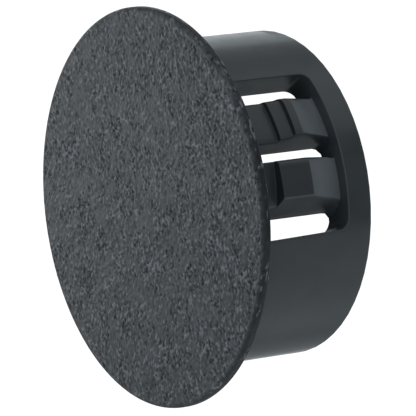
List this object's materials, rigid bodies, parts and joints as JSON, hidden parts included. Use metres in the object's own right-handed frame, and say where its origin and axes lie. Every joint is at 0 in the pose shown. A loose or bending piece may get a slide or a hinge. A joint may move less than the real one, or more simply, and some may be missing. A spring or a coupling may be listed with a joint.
{
  "type": "snap-in cable hole cover",
  "caption": "Round snap-in cover for a desk cable hole: thin textured head, short open skirt and sprung snap fingers in the skirt's windows.",
  "frame": {"origin": "centre of the head's underside, on the plane of the desk", "axes": "+Z out of the face, -Y towards the middle of the front window, +X to the right of it"},
  "size_m": [0.0306, 0.0306, 0.0121],
  "materials": {
    "head_plastic": "coarse spark-eroded grain",
    "skirt_plastic": "smooth semi-matt as moulded",
    "finger_plastic": "smooth semi-matt as moulded"
  },
  "bodies": {
    "plug": {"head": "head_plastic", "skirt": "skirt_plastic"},
    "front_stepped_finger": {"front_stepped_finger": "finger_plastic"},
    "front_hooked_finger": {"front_hooked_finger": "finger_plastic"},
    "back_stepped_finger": {"back_stepped_finger": "finger_plastic"},
    "back_hooked_finger": {"back_hooked_finger": "finger_plastic"}
  },
  "joints": [
    {"name": "front_stepped_finger_flex", "type": "hinge", "parent": "plug", "child": "front_stepped_finger", "pos_m": [0.00263, -0.01037, -0.009], "axis": [-0.9692, -0.2461, 0], "range_deg": [0, 8], "stiffness_Nm_per_rad": 0.0005},
    {"name": "front_hooked_finger_flex", "type": "hinge", "parent": "plug", "child": "front_hooked_finger", "pos_m": [-0.0023, -0.01045, -0.009], "axis": [-0.9767, 0.2147, 0], "range_deg": [0, 8], "stiffness_Nm_per_rad": 0.0005},
    {"name": "back_stepped_finger_flex", "type": "hinge", "parent": "plug", "child": "back_stepped_finger", "pos_m": [-0.00263, 0.01037, -0.009], "axis": [0.9692, 0.2461, 0], "range_deg": [0, 8], "stiffness_Nm_per_rad": 0.0005},
    {"name": "back_hooked_finger_flex", "type": "hinge", "parent": "plug", "child": "back_hooked_finger", "pos_m": [0.0023, 0.01045, -0.009], "axis": [0.9767, -0.2147, 0], "range_deg": [0, 8], "stiffness_Nm_per_rad": 0.0005}
  ]
}
